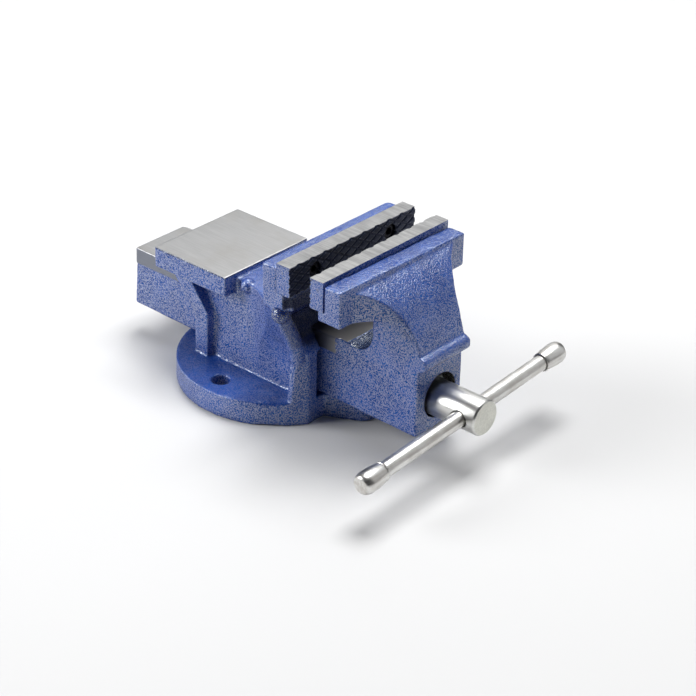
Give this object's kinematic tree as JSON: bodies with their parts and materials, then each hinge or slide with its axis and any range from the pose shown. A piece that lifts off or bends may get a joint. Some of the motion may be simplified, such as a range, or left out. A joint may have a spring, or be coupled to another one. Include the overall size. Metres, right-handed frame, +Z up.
{
  "type": "bench vise",
  "caption": "Bench vise with a fixed round base, an anvil pad, screwed-on hatched jaw plates, a sliding jaw on a square beam, a lead screw and a sliding T-handle bar.",
  "frame": {"origin": "centre of the round base, on the plane of its underside", "axes": "+X towards the handle, along the way the moving jaw opens; +Y to the left seen from the handle's end looking back; +Z up"},
  "size_m": [0.2417, 0.1642, 0.1045],
  "materials": {
    "casting_paint": "glossy hammered enamel on cast iron",
    "machined_iron": "ground bare iron",
    "jaw_plate": "ground top, dark hatched face",
    "dark_steel": "black oxide",
    "bright_zinc": "bright zinc plate",
    "bare_iron": "as cast"
  },
  "bodies": {
    "base": {"body": "casting_paint", "fixed_jaw_plate": "jaw_plate", "fixed_plate_screw_near": "dark_steel", "fixed_plate_screw_far": "dark_steel", "main_nut": "bare_iron", "nut_bolt_rear": "dark_steel", "nut_bolt_front": "dark_steel", "nut_washer_rear": "bright_zinc", "nut_washer_front": "bright_zinc"},
    "jaw": {"slide": "casting_paint", "moving_jaw_plate": "jaw_plate", "moving_plate_screw_near": "dark_steel", "moving_plate_screw_far": "dark_steel", "thrust_washer": "bright_zinc", "retaining_spring": "dark_steel", "retaining_washer": "bright_zinc"},
    "screw": {"lead_screw": "bright_zinc", "retaining_collar": "bare_iron", "retaining_pin": "dark_steel"},
    "handle": {"handle_bar": "bright_zinc", "handle_cap_near": "bright_zinc", "handle_cap_far": "bright_zinc"}
  },
  "joints": [
    {"name": "jaw_slide", "type": "slide", "parent": "base", "child": "jaw", "axis": [1, 0, 0], "range_m": [-0.0132, 0.0865]},
    {"name": "screw_turn", "type": "hinge", "parent": "jaw", "child": "screw", "pos_m": [0.1, 0, 0.0316], "axis": [1, 0, 0], "range_deg": [-1190, 7790]},
    {"name": "handle_slide", "type": "slide", "parent": "screw", "child": "handle", "axis": [0, 0.998, 0.0628], "range_m": [-0.05, 0.059]}
  ],
  "couplings": [
    {"joint": "screw_turn", "follows": "jaw_slide", "rad_per_m": 1570.8}
  ]
}
